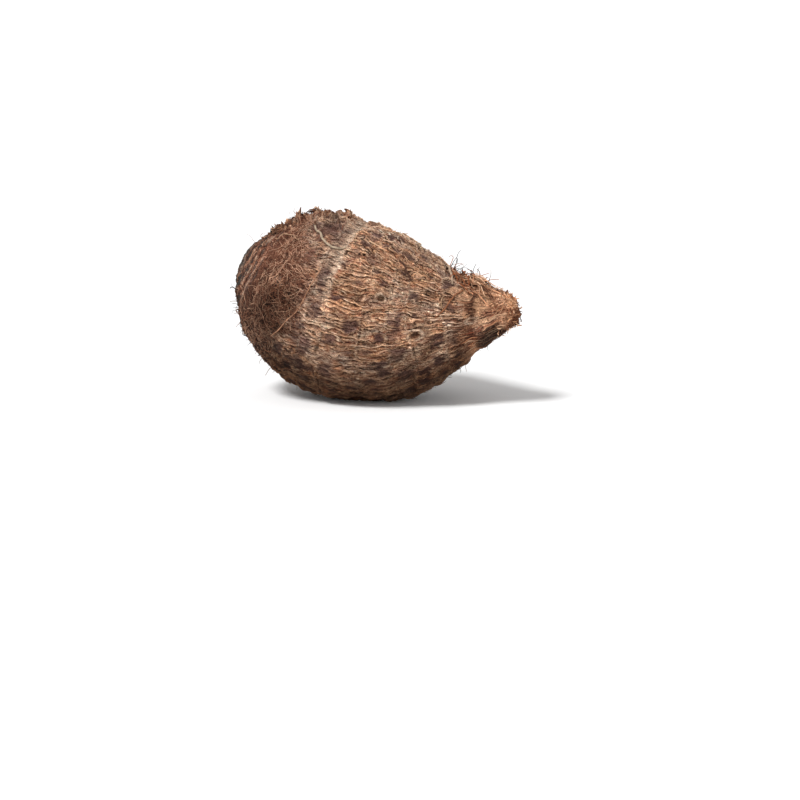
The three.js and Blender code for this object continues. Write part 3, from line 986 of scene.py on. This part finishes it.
def tints(colours, shares, count, spread=0.3):
    """One random colour a strand, (count, 1, 3), some lighter and some darker."""
    picked = np.array([linear(c) for c in colours])[rng.choice(len(colours), count, p=shares)]
    return (picked * rng.uniform(1 - spread, 1 + spread, (count, 1)))[:, None]


def joined(parts):
    """Parts that are each (path, normals, width, tint), as one of each."""
    return [np.concatenate(column) for column in zip(*parts)]


def pick_places(count, s_from, s_to, a_from=0.0, a_to=360.0):
    """Random places, even over the skin's area."""
    table = np.linspace(v_at(s_from), v_at(s_to), 400)
    weight = np.cumsum(radius_at(table))
    v = np.interp(rng.random(count), weight / weight[-1], table)
    return v, np.radians(rng.uniform(a_from, a_to, count))


def first_places(v, a, score, count):
    """The places with the lowest scores."""
    first = np.argsort(score)[:count]
    return v[first], a[first]


def bark_strips(count, steps=7):
    """Light strips that lie on the crests of the wrinkles, some with one end peeling away."""
    v, a = pick_places(count * 4, 28, 100)
    crest, plain = on_skin(v, a, 0)[3:]
    v, a = first_places(v, a, -crest + 1.3 * plain + rng.random(len(v)) * 0.8, count)
    length = rng.uniform(1.0, 5.0, count)
    vs, angles = along_wrinkles(v, a, length, steps, CREST_AT + rng.normal(0, 0.06, (count, 1)))
    angles = angles + rng.normal(0, 0.06, angles.shape) / radius_at(vs)
    peel = rng.exponential(0.5, count) * (rng.random(count) < PEELED)
    height = 0.02 + peel[:, None] * np.linspace(0, 1, steps) ** 3
    path, normals, tint, _crest, plain = on_skin(vs, angles, height)
    mid = tint.mean(axis=1, keepdims=True)
    pale = tints(*STRIP_MIX, count, 0.25)
    share = rng.uniform(0.15, 0.8, count)[:, None, None] * (1 - 0.75 * plain)[..., None]
    width = random_widths(0.12, 0.36, count, steps) * (1 - 0.5 * plain)
    # Painted shade on the underside, and the broad tones.
    toned = (1 - underside(angles)[..., None] * UNDERSIDE_SHADE) * area_tone(s_at(vs), angles, radius_at(vs))
    # The pale share is partly the bark's own light colour and partly a painted highlight on the crests.
    blend = (0.4 * tint + 0.6 * mid) * (1 - share) + pale * share * toned
    return ridged_strands("bark_strips", path, normals, width, 0.6, blend)


def bark_cracks(count, steps=7):
    """Thin dark cracks between the strips, dark partly as cracks and partly as painted shade under the
    strips' edges.
    """
    v, a = pick_places(count, 34, 110)
    length = rng.uniform(1.5, 5.5, count)
    vs, angles = along_wrinkles(v, a, length, steps, CRACK_AT + rng.normal(0, 0.05, (count, 1)))
    angles = angles + rng.normal(0, 0.06, angles.shape) / radius_at(vs)
    path, normals, _tint, _crest, plain = on_skin(vs, angles, 0.06)
    width = random_widths(0.14, 0.36, count, steps) * (1 - 0.5 * plain)
    return ridged_strands("bark_cracks", path, normals, width, 0.02, tints(*CRACK_MIX, count))


def mat(name, count, place, lengths, curl, widths, height, shares, round_share, steps=12, shaded=0.75):
    """Matted fibres on the crown. place is s from, s to, and the angles from and to. round_share of them run
    round the corm, and shaded is how much painted shade darkens them in the tangle."""
    v, a = pick_places(count * 2, *place)
    bare_pole = 9 + 7 * smoothstep(np.cos(a - 1.2), 0.3, 0.8)
    share = smoothstep(s_at(v), bare_pole, bare_pole + 5)
    share = crown_share(s_at(v), a, radius_at(v)) * (0.05 + 0.95 * share)
    v, a = first_places(v, a, -share + rng.random(len(v)), count)
    round_way = rng.choice([-1, 1], count) * rng.normal(1.45, 0.35, count)
    heading = np.where(rng.random(count) < round_share, round_way, rng.uniform(0, TAU, count))
    # Next to the bark most fibres are combed towards the neck.
    combed = rng.random(count) < 0.8 * smoothstep(s_at(v), 24, 32) * gauss(turned(a, 62), 0.7)
    heading = np.where(combed, rng.normal(0, 0.3, count), heading)
    length = rng.uniform(*lengths, count) * np.where(combed, 1.5, 1)
    curve = rng.normal(0, curl, count) * np.where(combed, 0.3, 1)
    vs, angles = walk(v, a, heading, length, curve, 0.2, steps)
    wave = 0.5 + 0.5 * np.sin(np.linspace(0, 9, steps) + rng.uniform(0, 6, (count, 1)))
    path, normals, ground = on_skin(vs, angles, 0.05 + rng.exponential(height, count)[:, None] * wave)[:3]
    own = tints(MAT_COLOURS, shares, count)
    where = (s_at(vs), angles, radius_at(vs))
    inside, lit = (spot(*where, row)[..., None] for row in (TANGLE, LIT))
    # Painted shade on the crown's lower side and the broad tones, then painted shade in the tangle.
    shade_and_tone = crown_painted_shade(*where[:2], 0.36) * area_tone(*where)
    tint = (0.8 * own + 0.2 * ground) * shade_and_tone * (1 - shaded * inside * TANGLE_SHADE) * (1 + 0.9 * lit)
    return ridged_strands(name, path, normals, random_widths(*widths, count, steps, 0.3), 0.5, tint)


def leaf_bases(count, steps=18):
    """Papery edges of old leaf bases that run round the crown near its pole."""
    v, a = pick_places(count, 2.5, 15)
    heading = rng.choice([-1, 1], count) * rng.normal(math.pi / 2, 0.05, count)
    vs, angles = walk(v, a, heading, rng.uniform(4, 16, count), rng.normal(0, 0.006, count), 0.06, steps)
    path, normals = on_skin(vs, angles, 0.1)[:2]
    tint = tints(*LEAF_MIX, count, 0.2)
    width = random_widths(0.2, 0.7, count, steps) * rng.uniform(0.5, 1.3, (count, steps))
    return ridged_strands("leaf_bases", path, normals, width, 0.3, tint)


def standing(v, a, lean, length, curl, steps, tilts=(0.3, 1.0)):
    """Paths that leave the skin: they start along the normal, lean towards a heading and curl over."""
    count = len(v)
    t = np.linspace(0, 1, steps)
    root, normal = on_skin(v, a, -0.3)[:2]
    next_v, next_a = on_profile(v + 0.5 * np.cos(lean)), a + 0.5 * np.sin(lean) / radius_at(v)
    toward = on_skin(next_v, next_a, -0.3)[0] - root
    toward /= np.linalg.norm(toward, axis=1, keepdims=True)
    aside = np.cross(normal, toward)[:, None]
    bend = t * curl[:, None] + np.cumsum(rng.normal(0, 0.16, (count, steps)), axis=1)
    tilt = rng.uniform(*tilts, count)[:, None] + bend
    way = np.cos(tilt)[..., None] * normal[:, None] + np.sin(tilt)[..., None] * toward[:, None]
    wobble = np.cumsum(rng.normal(0, 0.12, (count, steps)), axis=1) + t * rng.normal(0, 1.0, (count, 1))
    way = way + wobble[..., None] * aside
    way /= np.linalg.norm(way, axis=2, keepdims=True)
    step = (length / (steps - 1))[:, None, None]
    return steps_from(root, way[:, :-1] * step), np.repeat(aside, steps, axis=1)

def husk_tufts(flakes=30, fibres=16, steps=6):
    """Each tuft is a clump of torn flakes and thin fibres that lean the same way."""
    parts = []
    each = flakes + fibres
    flake = np.arange(each) < flakes
    for s, degrees, high in TUFTS:
        v = v_at(s) + rng.normal(0, 1.4, each)
        a = math.radians(degrees) + rng.normal(0, 1.5, each) / radius_at(v)
        length = 1.4 * high * np.where(flake, rng.uniform(0.5, 1.1, each), rng.uniform(0.4, 1.2, each))
        lean = rng.uniform(0, TAU) + rng.normal(0, 1.2, each)
        path, side = standing(v, a, lean, length, rng.normal(0.9, 1.5, each), steps, (0.3, 1.5))
        width = np.where(flake, rng.uniform(0.5, 1.4, each), rng.uniform(0.15, 0.4, each))
        width = width[:, None] * taper(steps) * np.linspace(1.0, 0.7, steps)
        parts.append((path, side, width, tints(*TUFT_MIX, each)))
    path, side, width, tint = joined(parts)
    return ridged_strands("husk_tufts", path, side, width, 0.3, tint)


def neck_husk(count, steps=10):
    """Strips of husk that cling to the neck, mostly on its upper side."""
    v, a = pick_places(count * 3, 98, 113)
    a = np.where(rng.random(len(a)) < 0.5, np.radians(rng.normal(-5, 28, len(a))), a)
    bare = sum(on_skin(np.clip(v + ahead, 0, PROFILE), a, 0)[4] for ahead in (0, 3, 6))
    v, a = first_places(v, a, bare + 0.3 * rng.random(len(v)), count)
    vs, angles = along_wrinkles(v, a, rng.uniform(2, 7, count), steps, rng.random((count, 1)))
    peel = rng.exponential(0.35, count)[:, None] * np.linspace(0, 1, steps) ** 2
    path, normals, ground = on_skin(vs, angles, 0.05 + peel)[:3]
    tint = 0.75 * tints(*NECK_MIX, count) + 0.25 * ground
    # The husk is darker over the patch of soil and painted shade under the neck.
    tint = tint * (1 - 0.72 * spot(s_at(vs), angles, radius_at(vs), SHADED_SOIL_PATCH)[..., None])
    return ridged_strands("neck_husk", path, normals, random_widths(0.12, 0.6, count, steps), 0.25, tint)


def collar_husk(count, steps=14):
    """Straps of husk that start on the collar's upper side, stand off it and come down on the neck."""
    v = v_at(99) + rng.uniform(0, 7, count)
    aside = rng.normal(0, 1, count)
    a = np.radians(-2 + 15 * aside)
    length = rng.uniform(6, 14, count)
    vs, angles = walk(v, a, rng.normal(0, 0.2, count), length, rng.normal(0, 0.03, count), 0.12, steps)
    peak = rng.uniform(0.5, 4.2, count) * gauss(aside, 1.4)
    arch = np.sin(np.pi * np.linspace(0, 1, steps) ** 0.6) ** 0.8
    path, normals = on_skin(vs, angles, 0.1 + peak[:, None] * arch)[:2]
    tint = tints(*COLLAR_MIX, count)
    return ridged_strands("collar_husk", path, normals, random_widths(0.2, 0.8, count, steps, 0.6), 0.2, tint)


def end_fuzz(count, steps=6):
    """Short torn fibres all over the broken end of the neck."""
    v, a = pick_places(count, 111, 119.5)
    lean, length, curl = rng.uniform(0, TAU, count), rng.uniform(0.8, 3.2, count), rng.normal(0, 1.6, count)
    path, side = standing(v, a, lean, length, curl, steps, (0.7, 1.5))
    tint = tints(*END_MIX, count)
    return ridged_strands("end_fuzz", path, side, random_widths(0.2, 0.6, count, steps, 0.4), 0.3, tint)


def loose_hairs(steps=12):
    """Wiry hairs that stand off the skin."""
    parts = []
    for count, place, lengths, thick, curl, picks in HAIRS:
        v, a = pick_places(count, *place)
        lean, length = rng.uniform(0, TAU, count), rng.uniform(*lengths, count)
        path, side = standing(v, a, lean, length, rng.normal(0, curl, count), steps)
        width = rng.uniform(*thick, count)[:, None] * np.linspace(1, 0.5, steps)
        parts.append((path, side, width, tints(picks, np.full(len(picks), 1 / len(picks)), count)))
    return round_strands("loose_hairs", *joined(parts), 3)


def rootlets(steps=24):
    """The few thick rootlets that lie on the skin."""
    parts = []
    kernel = np.array([0.25, 0.5, 0.25])
    for stops, thick, lift, colour in ROOTLETS:
        stops = np.array(stops, float)
        t, at = np.linspace(0, 1, steps), np.linspace(0, 1, len(stops))
        v = np.interp(t, at, v_at(stops[:, 0]))
        a = np.radians(np.interp(t, at, stops[:, 1]))
        for _ in range(6):
            v[1:-1], a[1:-1] = np.convolve(v, kernel, "valid"), np.convolve(a, kernel, "valid")
        a = a + 0.35 * np.sin(t * 17) / radius_at(v)
        path, normal = on_skin(v[None], a[None], thick * 0.4 + lift * np.sin(np.pi * t)[None])[:2]
        width = thick * (0.5 + 0.5 * taper(steps, 0.35))[None]
        parts.append((path, normal, width, linear(colour) * (0.9 + 0.2 * np.sin(t * 40))[None, :, None]))
    return round_strands("rootlets", *joined(parts), 8)


# ---- The pieces ----
CROWN_END, BELLY_END = v_at(34.0), v_at(63.0)
skin_piece("crown_skin", 0, CROWN_END, 110, 560, CROWN_SKIN)
belly_skin = skin_piece("belly_skin", CROWN_END, BELLY_END, 62, 1120, BARK_SKIN)
skin_piece("neck_skin", BELLY_END, PROFILE, 118, 760, BARK_SKIN)
bark_strips(6400)
bark_cracks(3200)
TANGLE_PLACE = (TANGLE[0] - 10, TANGLE[0] + 10, TANGLE[1] - 17, TANGLE[1] + 27)
mat("crown_mat", 7000, (4, 40), (1.2, 4.2), 0.12, (0.11, 0.24), 0.2, (0.34, 0.26, 0.12, 0.28), 0.35, 6)
mat("crown_sweep", 300, (10, 36), (6, 14), 0.03, (0.08, 0.17), 0.2, (0.35, 0.35, 0.15, 0.15), 0.9)
mat(
    "crown_tangle", 360, TANGLE_PLACE, (4, 12), 0.3, (0.1, 0.2), 0.6, (0.3, 0.34, 0.18, 0.18), 0.6, shaded=0.3
)
leaf_bases(130)
husk_tufts()
neck_husk(340)
collar_husk(320)
end_fuzz(360)
loose_hairs()
rootlets()
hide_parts("corm")

# ---- Stage: floor, light and camera ----
FLOOR_RADIUS, SWEEP = 4.0, 2.2  # of the flat floor, and of the curve that takes it up into the background
INNER_RADIUS = 2.0  # of the flat floor's middle face
SWEEP_SIDES, SWEEP_STEPS = 96, 24
FLOOR_GREY, FLOOR_ROUGHNESS = 0.93, 0.9
WORLD_LIGHT = 0.5
SUN_LIGHT, SUN_ANGLE = 2.8, math.radians(18)
SUN_FROM = Vector((-0.35, -0.6, 1.0))


def add_object(name, data):
    thing = bpy.data.objects.new(name, data)
    bpy.context.collection.objects.link(thing)
    return thing


def floor_mesh():
    turns = np.arange(SWEEP_SIDES) * TAU / SWEEP_SIDES
    rise = np.linspace(0, math.pi / 2, SWEEP_STEPS)
    reach = np.concatenate([[INNER_RADIUS], FLOOR_RADIUS + SWEEP * np.sin(rise)])
    lift = np.concatenate([[0.0], SWEEP * (1 - np.cos(rise))])
    x, y = circle(turns, reach[:, None])
    points = np.stack([x, y, np.broadcast_to(lift[:, None], x.shape)], -1)
    n = SWEEP_SIDES
    i, j = np.meshgrid(np.arange(SWEEP_STEPS), np.arange(n), indexing="ij")
    k = (j + 1) % n
    around = faces(i * n + j, (i + 1) * n + j, (i + 1) * n + k, i * n + k)
    mesh = bpy.data.meshes.new("floor")
    mesh.from_pydata(points.reshape(-1, 3).tolist(), [], around.tolist() + [list(range(n))])
    mesh.polygons.foreach_set("use_smooth", np.ones(len(mesh.polygons), dtype=bool))
    return mesh


floor = add_object("floor", floor_mesh())
paper = bpy.data.materials.new("paper")
paper.use_nodes = True
paper_inputs = paper.node_tree.nodes["Principled BSDF"].inputs
paper_inputs["Base Color"].default_value = (FLOOR_GREY, FLOOR_GREY, FLOOR_GREY, 1)
paper_inputs["Roughness"].default_value = FLOOR_ROUGHNESS
paper_inputs["Specular IOR Level"].default_value = 0
floor.data.materials.append(paper)

world = bpy.data.worlds.new("studio")
world.use_nodes = True
background = world.node_tree.nodes["Background"].inputs
background["Color"].default_value = (1, 1, 1, 1)
background["Strength"].default_value = WORLD_LIGHT
bpy.context.scene.world = world
bpy.context.scene.view_settings.view_transform = "Standard"

sun_data = bpy.data.lights.new("sun", "SUN")
sun_data.energy = SUN_LIGHT
sun_data.angle = SUN_ANGLE
sun = add_object("sun", sun_data)
sun.rotation_euler = (-SUN_FROM).to_track_quat("-Z", "Y").to_euler()

# The camera stands where the photograph's did, and the corm falls on the same place in the picture.
AZIMUTH, ELEVATION = math.radians(18), math.radians(9)
DISTANCE = 0.8
AIM = Vector((0, 0, 0.032))
PICTURE_PIXELS, LENS_PIXELS = 800, 2000.0
SENSOR = 36.0
AIM_PIXEL = (376.2, 317.9)
right = Vector((math.cos(AZIMUTH), math.sin(AZIMUTH), 0))
level = math.cos(ELEVATION)
back = Vector((math.sin(AZIMUTH) * level, -math.cos(AZIMUTH) * level, math.sin(ELEVATION)))
off_right, off_up = ((PICTURE_PIXELS / 2 - pixel) / LENS_PIXELS for pixel in AIM_PIXEL)
forward = -back + right * off_right - back.cross(right) * off_up
camera_data = bpy.data.cameras.new("camera")
camera_data.lens = SENSOR * LENS_PIXELS / PICTURE_PIXELS
camera_data.sensor_width = SENSOR
camera = add_object("camera", camera_data)
camera.location = AIM + back * DISTANCE
camera.rotation_euler = forward.to_track_quat("-Z", "Y").to_euler()
bpy.context.scene.camera = camera

bpy.context.view_layer.update()
